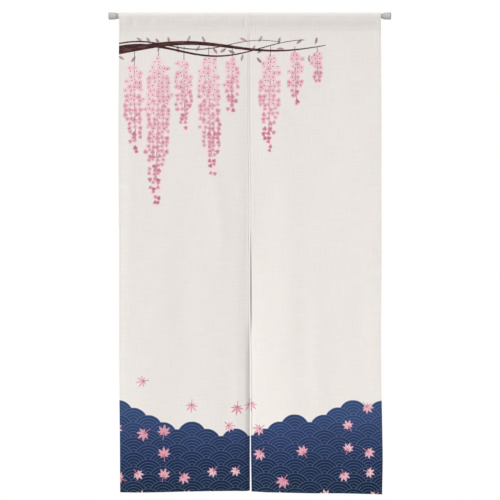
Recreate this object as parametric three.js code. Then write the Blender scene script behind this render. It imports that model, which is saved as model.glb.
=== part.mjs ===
// A split noren: two cloth panels side by side on a sprung telescoping rod. The top of each panel
// is folded to the back and sewn down as a rod pocket, the panels are sewn edge to edge a short way
// down, and below that they hang free with a narrow slit between them.
// Millimetres, +Z up. The origin is the middle of the rod's axis, +X is the viewer's right and +Y
// is the back of the curtain.
import * as THREE from 'three';

// Rod
const rodLength = 883; // over both end caps
const outerTubeDiameter = 17.4;
const innerTubeDiameter = 15.5;
const tubeWall = 0.6;
const outerTubeEnd = 190; // where the inner tube comes out, inside the right panel's pocket
const innerTubeOverlap = 260; // length of inner tube that stays inside the outer one
const roundSides = 28;

// End caps: soft rounded barrels pushed over the tubes' ends
const capDiameter = 22.6; // round the face that presses on the door jamb
const capMouthDiameter = 21.6; // at the open end
const capLength = 24;
const capEdgeRadius = 3;
const capMouthRadius = 1.2; // rounding of the open end
const capFloor = 6; // solid between the face and the tube's end
const cornerSteps = 4; // straight pieces in a rounding
const fitGap = 0.35; // left between pieces that touch

// Cloth
const clothThickness = 1.4;
const pocketDrop = 56; // top of the pocket to its stitch line
const pocketTurning = 4; // cloth below the stitch line, at the back
const pocketSlack = 0.5; // cloth to rod
const pocketTip = 3; // height above the stitch line where the two layers part
const crownSteps = 12; // straight pieces over the rod
const settle = 45; // drop over which the cloth swings back below its pocket
const belly = 2; // how far the middle of the drop stands back
const footHem = 20; // doubled cloth along the foot, turned to the back
const hangRows = 16;
const rowCrowding = 1.5; // above 1 puts more rows near the top
const hangColumns = 20;
const edgeCrowding = 0.55; // 0 to 1, puts more columns near a panel's two edges

// Heights below the rod's axis at which the fold tables give the cloth's depth, besides the hem
const seamEnd = 350; // sewn: where the sewn stretch between the panels ends
const upperFolds = 660;
const lowerFolds = 880;

const pocketRadius = outerTubeDiameter / 2 + pocketSlack;
const topZ = pocketRadius + clothThickness;
const stitchZ = topZ - pocketDrop;

// Each panel has its drop, from the pocket's top to its lowest corner, its side edges in X by depth
// below the rod's axis, and its broad folds by distance from the slit. The lower cloth swings a little
// to the right, and the slit opens towards the hem. swing is how far the cloth swings back below its
// pocket, sewn, upper, lower and hem are how much further back it stands at those heights, and rise is
// how much higher the hem is there.
const leftPanel = {
  drop: 1501.1,
  edges: [
    { down: 0, outer: -408.6, inner: -1.1 },
    { down: seamEnd, outer: -411.6, inner: -1.1 },
    { down: 560, outer: -410.6, inner: 2.3 },
    { down: 660, outer: -410.0, inner: 2.3 },
    { down: 740, outer: -409.5, inner: 0.5 },
    { down: 950, outer: -409.3, inner: 0.5 },
    { down: 1120, outer: -408.8, inner: 0.7 },
    { down: 1300, outer: -406.5, inner: 0.8 },
    { down: 1490, outer: -405.3, inner: 0.8 },
  ],
  folds: [
    { across: 0, swing: 2.4, sewn: 3.6, upper: 5.4, lower: 9.2, hem: 21.5, rise: 2.1 },
    { across: 8, swing: 2.4, sewn: 4.2, upper: 6.6, lower: 10.6, hem: 15.7, rise: 2.0 },
    { across: 22, swing: 2.5, sewn: 3.4, upper: 4.6, lower: 8.6, hem: 11, rise: 2.2 },
    { across: 45, swing: 2.6, sewn: 2.6, upper: 3, lower: 6.2, hem: 8, rise: 2.9 },
    { across: 130, swing: 3.2, sewn: 1, upper: 1.5, lower: 3, hem: 4, rise: 2.7 },
    { across: 210, swing: 4.4, sewn: 0, upper: 0.5, lower: 1, hem: 0.5, rise: 1.6 },
    { across: 330, swing: 5.2, sewn: -1, upper: -3, lower: -5, hem: -7, rise: 0 },
    { across: 385, swing: 5.4, sewn: -1.2, upper: -3.4, lower: -5.4, hem: -8, rise: 0.5 },
    { across: 410, swing: 5.5, sewn: -0.8, upper: -2.8, lower: -4.5, hem: -6.5, rise: 0.6 },
  ],
};
const rightPanel = {
  drop: 1505,
  edges: [
    { down: 0, outer: 410.2, inner: -0.5 },
    { down: seamEnd, outer: 411.5, inner: -0.5 },
    { down: 560, outer: 410.8, inner: 2.9 },
    { down: 660, outer: 411.3, inner: 2.9 },
    { down: 740, outer: 411.5, inner: 1.2 },
    { down: 920, outer: 410.0, inner: 1.2 },
    { down: 975, outer: 409.8, inner: 2.2 },
    { down: 1120, outer: 410.3, inner: 3.3 },
    { down: 1300, outer: 413.6, inner: 4.6 },
    { down: 1390, outer: 414.8, inner: 5.2 },
    { down: 1490, outer: 413.0, inner: 6.5 },
  ],
  folds: [
    { across: 0, swing: 2.4, sewn: 3.6, upper: 5.2, lower: 17.5, hem: 16, rise: 4.2 },
    { across: 5, swing: 2.4, sewn: 3.7, upper: 5.4, lower: 14.2, hem: 14, rise: 4.1 },
    { across: 14, swing: 2.3, sewn: 3.5, upper: 5.6, lower: 12, hem: 12.4, rise: 3.9 },
    { across: 50, swing: 1.8, sewn: 2, upper: 4, lower: 6.4, hem: 8, rise: 2.7 },
    { across: 120, swing: 1.2, sewn: 0, upper: -1, lower: -1, hem: -1, rise: 2.7 },
    { across: 190, swing: 0.8, sewn: -1.5, upper: -3.5, lower: -3.5, hem: -3.5, rise: 1.6 },
    { across: 280, swing: 0.6, sewn: -5, upper: -8, lower: -7, hem: -7, rise: 2.0 },
    { across: 380, swing: 0.5, sewn: -10.5, upper: -15.5, lower: -14, hem: -13, rise: 0.6 },
    { across: 415, swing: 0.5, sewn: -12, upper: -17.5, lower: -16, hem: -14, rise: 0 },
  ],
};

const clothMaterial = new THREE.MeshStandardMaterial({ color: 0xe8e2dd, roughness: 0.95 });
const tubeMaterial = new THREE.MeshStandardMaterial({ color: 0xcfccc8, roughness: 0.45 });
const capMaterial = new THREE.MeshStandardMaterial({ color: 0xbfbcb8, roughness: 0.7 });

const noren = new THREE.Group();

function addPart(name, geometry, material) {
  const mesh = new THREE.Mesh(geometry, material);
  mesh.name = name;
  noren.add(mesh);
  return mesh;
}

// Reads a table's column at a place between its rows, on a smooth curve through the rows.
function readTable(rows, key, column, at) {
  const last = rows.length - 1;
  let i = 0;
  while (i < last - 1 && at > rows[i + 1][key]) {
    i += 1;
  }
  const slope = (a, b) => (rows[b][column] - rows[a][column]) / (rows[b][key] - rows[a][key]);
  const step = rows[i + 1][key] - rows[i][key];
  const startSlope = slope(Math.max(i - 1, 0), i + 1);
  const endSlope = slope(i, Math.min(i + 2, last));
  const t = THREE.MathUtils.clamp((at - rows[i][key]) / step, 0, 1);
  const fromStart = 1 - t * t * (3 - 2 * t);
  const bendStart = t * (1 - t) * (1 - t) * step * startSlope;
  const bendEnd = t * t * (1 - t) * step * endSlope;
  return rows[i][column] * fromStart + rows[i + 1][column] * (1 - fromStart) + bendStart - bendEnd;
}

// Rod

// A tube along X, as a ring profile turned about the rod's axis.
function tubeGeometry(diameter, startX, endX) {
  const outside = diameter / 2;
  const inside = outside - tubeWall;
  const ring = [
    [outside, startX],
    [outside, endX],
    [inside, endX],
    [inside, startX],
    [outside, startX],
  ];
  return turnedAlongX(ring);
}

// Turns a profile of [radius, x] points about the X axis.
function turnedAlongX(profile) {
  const points = profile.map(([radius, x]) => new THREE.Vector2(radius, x));
  return new THREE.LatheGeometry(points, roundSides).rotateZ(-Math.PI / 2);
}

// A soft cap at the +X end: a rounded barrel with a blind socket for the tube.
function capGeometry(tubeDiameter) {
  const face = rodLength / 2;
  const mouthX = face - capLength;
  const foot = capDiameter / 2;
  const mouth = capMouthDiameter / 2;
  const socket = tubeDiameter / 2 + fitGap;
  const roundCorner = (radius, x, size, fromAngle, toAngle) => {
    const arc = new THREE.ArcCurve(radius, x, size, fromAngle, toAngle, false);
    return arc.getPoints(cornerSteps).map((p) => [p.x, p.y]);
  };
  const profile = [
    [0, face - capFloor],
    [socket, face - capFloor],
    [socket, mouthX],
    ...roundCorner(mouth - capMouthRadius, mouthX + capMouthRadius, capMouthRadius, -Math.PI / 2, 0),
    ...roundCorner(foot - capEdgeRadius, face - capEdgeRadius, capEdgeRadius, 0, Math.PI / 2),
    [0, face],
  ];
  return turnedAlongX(profile);
}

const tubeReach = rodLength / 2 - capFloor - fitGap;
addPart('rod_outer_tube', tubeGeometry(outerTubeDiameter, -tubeReach, outerTubeEnd), tubeMaterial);
addPart(
  'rod_inner_tube',
  tubeGeometry(innerTubeDiameter, outerTubeEnd - innerTubeOverlap, tubeReach),
  tubeMaterial,
);
addPart('right_cap', capGeometry(innerTubeDiameter), capMaterial);
addPart('left_cap', capGeometry(outerTubeDiameter), capMaterial).rotation.z = Math.PI;

// Panels

// Points over the rod, front to back, on a circle that the pocket's two straight walls touch. Each wall
// comes up from its own foot at the stitch line.
function pocketCrown(radius, frontFoot, backFoot) {
  const touch = ([y, z], side) => Math.atan2(z, y) + side * Math.acos(radius / Math.hypot(y, z));
  const arc = new THREE.ArcCurve(0, 0, radius, touch(frontFoot, -1), touch(backFoot, 1), true);
  return arc.getPoints(crownSteps).map((p) => [p.x, p.y]);
}

// The hanging cloth's rows from the stitch line to the hem.
function rowHeights(hemZ) {
  const heights = [];
  for (let i = 0; i <= hangRows; i += 1) {
    heights.push(THREE.MathUtils.lerp(stitchZ, hemZ, Math.pow(i / hangRows, rowCrowding)));
  }
  return heights;
}

// Triangles that fill a contour of numbered points, round a hole if there is one.
function fillContour(points, contour, hole = []) {
  const toPoints = (numbers) => numbers.map((number) => points[number]);
  const holes = hole.length > 0 ? [toPoints(hole)] : [];
  const faces = THREE.ShapeUtils.triangulateShape(toPoints(contour), holes);
  const numbers = [...contour, ...hole];
  return faces.map((face) => face.map((corner) => numbers[corner]));
}

// Section of a panel in Y and Z before it is hung on its folds: a single straight sheet below, doubled
// back over the rod at the top and turned up at the foot. Its filling goes row by row down the sheet.
function panelSection(hemZ) {
  const half = clothThickness / 2;
  const heights = rowHeights(hemZ);
  const turningZ = stitchZ - pocketTurning;
  const hemTop = hemZ + footHem;
  const front = (z) => [-half, z];
  const back = (z) => [half, z];
  const secondBack = (z) => [half + clothThickness, z];
  const tip = [half, stitchZ + pocketTip];
  const crown = pocketCrown(pocketRadius + clothThickness, front(stitchZ), secondBack(stitchZ));
  const turning = [secondBack(stitchZ), secondBack(turningZ), back(turningZ)];
  const backRows = heights.slice(1, -1).map(back);
  const turnedHem = [back(hemTop), secondBack(hemTop), secondBack(hemZ)];
  const outline = [...heights.map(front).reverse(), ...crown, ...turning, ...backRows, ...turnedHem];
  const inside = [tip, ...pocketCrown(pocketRadius, tip, tip)].reverse();
  const points = [...outline, ...inside].map(([y, z]) => new THREE.Vector2(y, z));
  const numbers = [...points.keys()];
  const frontRow = (row) => hangRows - row;
  const backRow = (row) => hangRows + crown.length + turning.length + row;
  const pocket = numbers.slice(frontRow(1), backRow(1) + 1);
  const foot = [...numbers.slice(backRow(hangRows - 1), outline.length), 0, 1];
  const filling = fillContour(points, pocket, numbers.slice(outline.length));
  filling.push(...fillContour(points, foot));
  for (let row = 1; row < hangRows - 1; row += 1) {
    const cell = [frontRow(row), backRow(row), backRow(row + 1), frontRow(row + 1)];
    filling.push(...fillContour(points, cell));
  }
  const loops = [numbers.slice(0, outline.length), numbers.slice(outline.length)];
  return { points, loops, filling };
}

// How far back the cloth stands: nothing down to the stitch line, then the fold table's heights.
function foldDepth(folds, across, down, hemZ) {
  const below = down + stitchZ;
  if (below <= 0) {
    return 0;
  }
  const column = [
    { down: -stitchZ, back: 0 },
    { down: seamEnd, back: readTable(folds, 'across', 'sewn', across) },
    { down: upperFolds, back: readTable(folds, 'across', 'upper', across) },
    { down: lowerFolds, back: readTable(folds, 'across', 'lower', across) },
    { down: -hemZ, back: readTable(folds, 'across', 'hem', across) },
  ];
  const share = below / (stitchZ - hemZ);
  const swing = readTable(folds, 'across', 'swing', across) * (1 - Math.exp(-below / settle));
  return swing + belly * 4 * share * (1 - share) + readTable(column, 'down', 'back', down);
}

// A panel: its section drawn out across its width in columns from -X to +X, each point hung on the
// edges and folds, with walls along the section's loops and its filling at both sides.
function panelGeometry({ drop, edges, folds }) {
  const hemZ = topZ - drop;
  const { points, loops, filling } = panelSection(hemZ);
  const onRight = edges[0].outer > 0;
  const positions = [];
  for (let column = 0; column <= hangColumns; column += 1) {
    const evenly = onRight ? column / hangColumns : 1 - column / hangColumns;
    const share = evenly - (edgeCrowding * Math.sin(2 * Math.PI * evenly)) / (2 * Math.PI);
    for (const point of points) {
      const down = -point.y;
      const inner = readTable(edges, 'down', 'inner', down);
      const x = THREE.MathUtils.lerp(inner, readTable(edges, 'down', 'outer', down), share);
      const across = Math.abs(x - inner);
      const hemShare = THREE.MathUtils.smoothstep(down, seamEnd, -hemZ);
      const rise = readTable(folds, 'across', 'rise', across) * hemShare;
      positions.push(x, point.x + foldDepth(folds, across, down, hemZ), point.y + rise);
    }
  }
  const corners = [];
  for (let column = 0; column < hangColumns; column += 1) {
    const start = column * points.length;
    const end = start + points.length;
    for (const loop of loops) {
      loop.forEach((a, i) => {
        const b = loop[(i + 1) % loop.length];
        corners.push(start + a, end + a, end + b, start + a, end + b, start + b);
      });
    }
  }
  const lastColumn = hangColumns * points.length;
  for (const [a, b, c] of filling) {
    corners.push(c, b, a, lastColumn + a, lastColumn + b, lastColumn + c);
  }
  const geometry = new THREE.BufferGeometry();
  geometry.setAttribute('position', new THREE.Float32BufferAttribute(positions, 3));
  geometry.setIndex(corners);
  geometry.computeVertexNormals();
  return geometry;
}

addPart('left_panel', panelGeometry(leftPanel), clothMaterial);
addPart('right_panel', panelGeometry(rightPanel), clothMaterial);

export default noren;
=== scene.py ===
from functools import partial

import bmesh
import bpy
import numpy as np
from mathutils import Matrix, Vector


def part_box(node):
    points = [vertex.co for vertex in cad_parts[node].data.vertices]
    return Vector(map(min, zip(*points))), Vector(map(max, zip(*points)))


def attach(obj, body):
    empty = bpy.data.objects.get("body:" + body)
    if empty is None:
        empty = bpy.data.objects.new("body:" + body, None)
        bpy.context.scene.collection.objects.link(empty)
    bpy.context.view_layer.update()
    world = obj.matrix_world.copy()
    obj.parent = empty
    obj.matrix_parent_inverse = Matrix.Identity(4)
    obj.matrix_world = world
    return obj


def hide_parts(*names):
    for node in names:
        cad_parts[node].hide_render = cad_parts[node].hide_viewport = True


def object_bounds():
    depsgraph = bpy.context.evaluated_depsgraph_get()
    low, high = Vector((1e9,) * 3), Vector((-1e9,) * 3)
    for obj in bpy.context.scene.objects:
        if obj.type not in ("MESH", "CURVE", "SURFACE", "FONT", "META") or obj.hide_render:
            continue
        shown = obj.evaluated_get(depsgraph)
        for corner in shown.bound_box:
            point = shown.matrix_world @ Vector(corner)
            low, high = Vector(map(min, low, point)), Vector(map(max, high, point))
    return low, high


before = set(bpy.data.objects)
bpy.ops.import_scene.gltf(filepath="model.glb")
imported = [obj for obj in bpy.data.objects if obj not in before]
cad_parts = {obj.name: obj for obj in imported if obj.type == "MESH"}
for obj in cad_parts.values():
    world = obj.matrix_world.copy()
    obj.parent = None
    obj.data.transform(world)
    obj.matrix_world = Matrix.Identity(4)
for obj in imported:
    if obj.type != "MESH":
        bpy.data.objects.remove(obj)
cadBox = [list(map(float, corner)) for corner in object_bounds()]
print("frame loaded, nodes:", ", ".join(sorted(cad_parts)))

mm = 0.001  # all sizes below are in millimetres, and go into meshes in metres


def toLinear(hexColour):
    # each sRGB channel to linear light: a straight foot, then a 2.4 power
    channel = np.array([int(hexColour[i:i + 2], 16) for i in (1, 3, 5)]) / 255
    light = np.where(channel <= 0.04045, channel / 12.92, ((channel + 0.055) / 1.055) ** 2.4)
    return (*light.tolist(), 1.0)


def setSockets(node, sockets):
    # links nodes or their outputs to a node's sockets and sets plain values; a node stands for its first
    # output
    for key, value in sockets.items():
        if isinstance(value, bpy.types.Node):
            value = value.outputs[0]
        if isinstance(value, bpy.types.NodeSocket):
            node.id_data.links.new(value, node.inputs[key])
        else:
            node.inputs[key].default_value = value


def addNode(tree, kind, *values, named={}, stops=(), **settings):
    # kind may end in a full stop and an operation; values go to the sockets in order, named ones by name
    # or number; stops are a colour ramp's places and colours
    kind, _, operation = kind.partition(".")
    node = tree.nodes.new("ShaderNode" + kind)
    if operation:
        node.operation = operation
    for name, setting in settings.items():
        setattr(node, name, setting)
    for number, (position, hexColour) in enumerate(stops):
        elements = node.color_ramp.elements
        element = elements[number] if number < 2 else elements.new(position)
        element.position = position
        element.color = toLinear(hexColour)
    setSockets(node, {**dict(enumerate(values)), **named})
    return node


def newMaterial(name, **shaderValues):
    # an empty material with one principled shader, and the function that adds nodes to it
    material = bpy.data.materials.new(name)
    material.use_nodes = True
    material.node_tree.nodes.clear()
    add = partial(addNode, material.node_tree)
    shader = add("BsdfPrincipled", named=shaderValues)
    add("OutputMaterial", shader)
    return material, add, shader


def addPiece(name, points, faceSets, material):
    # points in mm as an array of rows x, y, z; faceSets are arrays of faces with equal numbers of corners
    mesh = bpy.data.meshes.new(name)
    sizes = np.concatenate([np.full(len(faces), faces.shape[1]) for faces in faceSets])
    corners = np.concatenate([faces.ravel() for faces in faceSets])
    mesh.vertices.add(len(points))
    mesh.vertices.foreach_set("co", (points * mm).astype(np.float32).ravel())
    mesh.loops.add(len(corners))
    mesh.loops.foreach_set("vertex_index", corners.astype(np.int32))
    mesh.polygons.add(len(sizes))
    mesh.polygons.foreach_set("loop_start", np.append(0, np.cumsum(sizes)[:-1]).astype(np.int32))
    mesh.polygons.foreach_set("use_smooth", np.ones(len(sizes), bool))
    mesh.update(calc_edges=True)
    mesh.validate()
    mesh.materials.append(material)
    piece = bpy.data.objects.new(name, mesh)
    bpy.context.scene.collection.objects.link(piece)
    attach(piece, "root")
    return piece


def gridQuads(rows, columns, start=0):
    # quads of a grid of points stored row after row, facing columns cross rows
    first = start + (np.arange(rows - 1)[:, None] * columns + np.arange(columns - 1)[None, :]).ravel()
    return np.stack([first, first + 1, first + columns + 1, first + columns], axis=1)


def spaced(stops, steps):
    # positions through all the stops, about one step apart within each stretch
    stretches = zip(stops[:-1], stops[1:], steps)
    runs = [np.linspace(a, b, max(2, round(abs(b - a) / step) + 1))[:-1] for a, b, step in stretches]
    return np.append(np.concatenate(runs), stops[-1])


def smoothStep(low, high, at):
    # 0 below low, 1 above high, and an even S curve between
    share = np.clip((at - low) / (high - low), 0, 1)
    return share * share * (3 - 2 * share)


def bell(distance, halfWidth):
    # soft ridge: 1 at no distance, fading as the exponential of the squared distance
    return np.exp(-(distance / halfWidth) ** 2)


def smoothRead(places, values, at):
    # cubic curve through the rows: each row's slope is that of the chord between its neighbours
    places = np.asarray(places, float)
    values = np.asarray(values, float)
    order = np.arange(len(places))
    before = np.maximum(order - 1, 0)
    after = np.minimum(order + 1, len(places) - 1)
    run = (places[after] - places[before]).reshape(-1, *[1] * (values.ndim - 1))
    slopes = (values[after] - values[before]) / run
    row = np.clip(np.searchsorted(places, at) - 1, 0, len(places) - 2)
    if values.ndim == 1:
        start, end, startSlope, endSlope = values[row], values[row + 1], slopes[row], slopes[row + 1]
    else:
        pick = row[None]
        start, end = np.take_along_axis(values, pick, 0)[0], np.take_along_axis(values, pick + 1, 0)[0]
        startSlope = np.take_along_axis(slopes, pick, 0)[0]
        endSlope = np.take_along_axis(slopes, pick + 1, 0)[0]
    step = places[row + 1] - places[row]
    t = np.clip((at - places[row]) / step, 0, 1)
    blend = t * t * (3 - 2 * t)
    bend = t * (1 - t) * (1 - t) * step * startSlope - t * t * (1 - t) * step * endSlope
    return start * (1 - blend) + end * blend + bend


# cloth panels

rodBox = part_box("rod_outer_tube")
cloth = {
    "topZ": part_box("left_panel")[1][2] / mm,  # top of the rod pocket
    "rodRadius": (rodBox[1][2] - rodBox[0][2]) / 2 / mm,
    "rodSlack": 0.15,         # cloth to rod
    "thickness": 0.8,
    "edgeThickness": 0.55,    # share of it that is left at the rounded edges
    "edgeRounding": 1.6,
    "sharpAngle": 40,         # degrees, shaded as an edge above this
    "pocketDrop": 56.0,       # pocket top to its stitch line
    "pocketTurning": 4.0,     # cloth below the stitch line at the back
    "layerGap": 0.7,          # between the two layers there, before the stitches draw them in
    "leaveShare": 0.35,       # the front leaves the rod at this share of the turn to a straight wall
    "wallTop": 16.0,          # where that is, along the cloth below the pocket's top
    "creasePower": 8,         # sharpness of the pressed crease on top
    "crumplesFrom": (14, 20),  # the pocket's crumples fade in between these distances below its top
    "settle": 45.0,           # drop over which the cloth swings back below its pocket
    "belly": 2.0,             # how far the middle of the drop stands back
    "rollCurve": 1.5,         # power by which the roll of an inner edge fades across the cloth
    "seamEnd": 350.0,         # sewn stretch between the panels, below the rod's axis
    "upperFolds": 660.0,      # further heights at which the fold tables give the cloth's depth
    "lowerFolds": 880.0,
    "seamDip": 0.9,           # how far the two edges turn in where they are sewn together
    "seamDipWidth": 1.6,
    "sideHem": 5.7,
    "sideHemSlope": 0.6,      # half the width over which a hem's extra layers end
    "hemStepWidth": 1.0,
    "hemStarts": 20.0,        # drop over which a hem's step or the sewn stretch begins or ends
    "hemOpens": 130.0,        # drop below the sewn stretch over which the slit's hems take their step
    "footHem": 20.0,
    "footHemSlope": 1.3,
    "hemBack": 0.9,           # how far a hem's extra layers stand out at the back
    "pocketGroove": 0.25,     # cloth drawn in along the pocket's line of stitches
    "pocketGrooveWidth": 1.8,
    "footGroove": 0.6,        # and along the foot's
    "footGrooveWidth": 2.2,
    # waves along the lines of stitches, which drift as a slower wave and die away beside the line
    "puckers": {
        "pocket": {"height": 0.35, "wave": 2.3, "drift": 1.6, "driftWave": 19, "reach": 11},
        "side": {"height": 0.25, "wave": 3.1, "drift": 2, "driftWave": 41, "reach": 7},
        "foot": {"height": 0.3, "wave": 3.4, "drift": 1.8, "driftWave": 27, "reach": 9},
    },
    "puckerClear": 12.0,      # the side hems' puckers stop this near the pocket's stitches
    "ripple": {"height": 0.3, "across": 23, "acrossLean": 190, "down": 77, "downLean": 310},
    "ridgeFade": 0.35,        # share of a ridge's length over which it comes and goes
    "gridStep": 4.5,
    "fineStep": 1.2,
    "fineFoot": 26.0,         # stretches of finer rows above the foot and below the pocket
    "finePocket": 14.0,
    "fineWall": 0.3,          # share of the pocket's walls with finer rows
    "fineInner": 20.0,        # stretch of finer columns beside the slit
    "crownRows": 30,
}
# side edges in x and broad folds, close to the solids', and the inner hem's roll to the back
leftSide = {
    "sign": -1, "width": 411.0,
    "drop": 1501.1,        # pocket top to the lowest corner
    "edges": {
        "down": [0, 350, 560, 660, 740, 950, 1120, 1300, 1490],
        "outer": [-408.6, -411.6, -410.6, -410.0, -409.5, -409.3, -408.8, -406.5, -405.3],
        "inner": [-0.85, -0.85, 2.45, 2.45, 0.6, 0.6, 0.7, 0.8, 0.8],
    },
    "folds": {
        "across": [0, 8, 22, 45, 130, 210, 330, 385, 410],
        "swing": [2.4, 2.4, 2.5, 2.6, 3.2, 4.4, 5.2, 5.4, 5.5],
        "sewn": [3.6, 4.2, 3.4, 2.6, 1, 0, -1, -1.2, -0.8],
        "upper": [5.4, 6.6, 4.6, 3, 1.5, 0.5, -3, -3.4, -2.8],
        "lower": [9.2, 10.6, 8.6, 6.2, 3, 1, -5, -5.4, -4.5],
        "hem": [13.6, 13.2, 11, 8, 4, 0.5, -7, -8, -6.5],
        "rise": [2.1, 2.0, 2.2, 2.9, 2.7, 1.6, 0, 0.5, 0.6],
    },
    "roll": {"down": [56, 930, 963, 1000, 1076, 1140, 1490], "back": [0, 0, 2, 4, 7, 8, 8], "width": 15},
    # how far the side hems lie behind the cloth beside them, and how far their edges come forward again
    "hems": {"sewnStep": 0.75, "openStep": 1.5, "outerStep": 0.2, "innerLift": 0.9, "outerLift": 0},
    # soft ridges (+) and troughs (-) of the hanging cloth: lean is sideways run per mm of drop
    "ridges": {
        "across": [118, 60, 190, 265, 300, 372],
        "start": [420, 980, 60, 620, 90, 150],
        "end": [800, 1420, 420, 1300, 520, 1200],
        "halfWidth": [24, 26, 36, 42, 30, 16],
        "height": [1.3, -1.2, -0.9, 1.1, 0.8, 0.7],
        "lean": [-0.10, 0.03, 0.05, -0.02, -0.08, 0.01],
    },
    # crumples of the pocket's front: v is the distance below the pocket's top
    "crumples": {
        "across": [15, 62, 98, 128, 160, 205, 250, 312, 366, 392],
        "v": [38, 24, 27, 23, 40, 26, 42, 30, 38, 30],
        "halfAcross": [4, 14, 12, 16, 20, 24, 26, 10, 7, 9],
        "halfDown": [16, 5, 6, 5, 9, 6, 9, 12, 14, 15],
        "height": [-1.3, -0.9, 0.5, -1.2, 0.9, -0.7, -0.6, -1.1, -1.2, 0.8],
    },
    "pocketSag": {"across": [0, 60, 140, 220, 300, 411], "inwards": [0.85, 0.8, 0.75, 0.6, 0.5, 0.5]},
}
rightSide = {
    "sign": 1, "width": 411.5,
    "drop": 1505.0,
    "edges": {
        "down": [0, 350, 560, 660, 740, 920, 975, 1120, 1300, 1390, 1490],
        "outer": [410.2, 411.5, 410.8, 411.3, 411.5, 410.0, 409.8, 410.3, 413.6, 414.8, 413.0],
        "inner": [-0.75, -0.75, 2.75, 2.75, 0.4, 0.4, 2.2, 3.3, 4.6, 5.2, 6.5],
    },
    "folds": {
        "across": [0, 5, 14, 50, 120, 190, 280, 380, 415],
        "swing": [2.4, 2.4, 2.3, 1.8, 1.2, 0.8, 0.6, 0.5, 0.5],
        "sewn": [3.6, 3.7, 3.5, 2, 0, -1.5, -5, -10.5, -12],
        "upper": [5.2, 5.4, 5.6, 4, -1, -3.5, -8, -15.5, -17.5],
        "lower": [17.5, 14.2, 12, 6.4, -1, -3.5, -7, -14, -16],
        "hem": [16, 14, 12.4, 8, -1, -3.5, -7, -13, -14],
        "rise": [4.2, 4.1, 3.9, 2.7, 2.7, 1.6, 2.0, 0.6, 0],
    },
    "roll": {"down": [56, 920, 975, 1490], "back": [0, 0, -3.6, -3.6], "width": 5},
    "hems": {"sewnStep": 0.75, "openStep": 1.5, "outerStep": 0.1, "innerLift": 0, "outerLift": 0.5},
    "ridges": {
        "across": [160, 205, 95, 300, 345, 240],
        "start": [640, 820, 160, 200, 700, 60],
        "end": [1260, 1440, 700, 820, 1380, 360],
        "halfWidth": [30, 34, 34, 40, 26, 36],
        "height": [-1.1, 1.0, 0.7, 0.9, -0.8, -0.9],
        "lean": [0.02, 0.03, 0.04, -0.03, 0.01, 0.06],
    },
    "crumples": {
        "across": [18, 58, 104, 150, 196, 240, 292, 330, 372, 398],
        "v": [24, 40, 26, 36, 24, 38, 27, 40, 25, 36],
        "halfAcross": [12, 18, 14, 20, 16, 22, 14, 18, 12, 7],
        "halfDown": [5, 9, 6, 10, 5, 9, 6, 9, 6, 13],
        "height": [-0.9, 0.8, -0.8, 0.6, -1.0, 0.7, -0.8, 0.6, -0.9, -0.9],
    },
    "pocketSag": {"across": [0, 90, 180, 300, 412], "inwards": [0.85, 0.9, 0.85, 0.9, 0.8]},
}


def panelSection(side):
    # the cloth's middle line in y and z: up the front from the hem, straight to the rod's round, over the
    # rod with a pressed crease on top, straight down the back and into the turning; v is the distance
    # below the pocket's top along the cloth, negative at the back, and part numbers those five stretches
    radius = cloth["rodRadius"] + cloth["rodSlack"] + cloth["thickness"] / 2
    crease = cloth["topZ"] - cloth["thickness"] / 2 - radius
    stitchZ = cloth["topZ"] - cloth["pocketDrop"]
    hemZ = cloth["topZ"] - side["drop"]
    backY = cloth["thickness"] + cloth["layerGap"]
    fine = cloth["fineStep"]
    hangZ = spaced([hemZ, hemZ + cloth["fineFoot"], stitchZ - cloth["finePocket"], stitchZ],
                   [2 * fine, cloth["gridStep"], fine])
    share = (hangZ - stitchZ) / (hemZ - stitchZ)
    hangY = cloth["belly"] * 4 * share * (1 - share)
    frontMeet = np.pi + cloth["leaveShare"] * np.arcsin(radius / -stitchZ)
    backMeet = np.arctan2(stitchZ, backY) + np.arccos(radius / np.hypot(stitchZ, backY))
    angle = np.linspace(frontMeet, backMeet, cloth["crownRows"])
    crownY = radius * np.cos(angle)
    crownZ = radius * np.sin(angle) + crease * np.maximum(np.sin(angle), 0) ** cloth["creasePower"]
    climb = spaced([0, cloth["fineWall"], 1], [fine / -stitchZ, 2 * fine / -stitchZ])[1:-1]
    turningZ = spaced([stitchZ, stitchZ - cloth["pocketTurning"]], [fine])
    y = np.concatenate([hangY, climb * crownY[0], crownY, (backY + climb * (crownY[-1] - backY))[::-1],
                        np.full(len(turningZ), backY)])
    z = np.concatenate([hangZ, stitchZ + climb * (crownZ[0] - stitchZ), crownZ,
                        (stitchZ + climb * (crownZ[-1] - stitchZ))[::-1], turningZ])
    lengths = [len(hangZ), len(climb), len(angle), len(climb), len(turningZ)]
    part = np.repeat([0, 1, 2, 3, 4], lengths)
    path = np.append(0, np.cumsum(np.hypot(np.diff(y), np.diff(z))))
    v = path[len(hangZ) + len(climb) + len(angle) // 2] - path
    return {"y": y, "z": z, "v": v, "part": part, "foot": v[0], "frontStitch": v[len(hangZ) - 1],
            "backStitch": -v[-len(turningZ)]}


def surfaceNormal(points):
    # across direction cross path direction, both from neighbouring points
    normal = np.cross(np.gradient(points, axis=1), np.gradient(points, axis=0))
    normal = normal / np.linalg.norm(normal, axis=-1, keepdims=True)
    return normal * np.sign(-normal[0, 0, 1])


def ridgePush(ridges, across, down):
    # a faint ripple, the product of two slow sines, and a sum of long soft bells across the cloth that lean
    # as they go down and fade in and out at their ends
    ripple = cloth["ripple"]
    push = ripple["height"] * np.sin(across / ripple["across"] + down / ripple["acrossLean"])
    push = push * np.sin(down / ripple["down"] - across / ripple["downLean"])
    for place, start, end, halfWidth, height, lean in zip(*ridges.values()):
        fade = (end - start) * cloth["ridgeFade"]
        along = smoothStep(start, start + fade, down) * (1 - smoothStep(end - fade, end, down))
        push = push + height * bell(across - place - lean * (down - start), halfWidth) * along
    return push


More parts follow.
